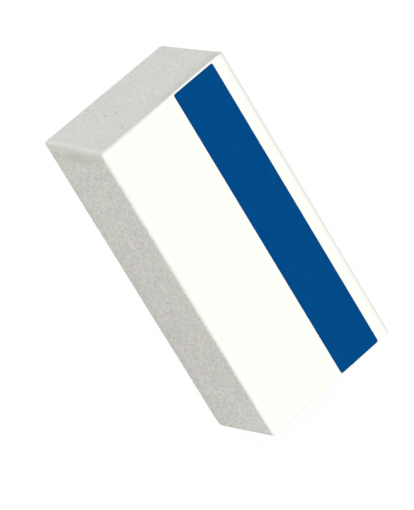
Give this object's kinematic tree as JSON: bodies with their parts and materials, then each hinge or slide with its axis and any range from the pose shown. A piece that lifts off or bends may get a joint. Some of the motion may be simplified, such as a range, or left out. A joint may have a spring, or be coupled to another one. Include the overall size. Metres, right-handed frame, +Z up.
{
  "type": "vinyl eraser",
  "caption": "Rectangular block eraser of soft white vinyl with softly rounded long edges, knife-cut ends and a plain blue band printed along one face.",
  "frame": {"origin": "centre of the block's box at its back face, which rests on the desk", "axes": "+X along the length, from the end where the print starts to the other end; +Y across the width, towards the side that the band lies nearer; +Z up through the printed face"},
  "size_m": [0.043, 0.0202, 0.0135],
  "materials": {
    "vinyl": "matt white soft vinyl, faintly grained on the drawn sides and smooth on the printed face",
    "ink": "thin satin blue printing ink"
  },
  "bodies": {
    "root": {"block": "vinyl", "print_band": "ink"}
  },
  "joints": []
}
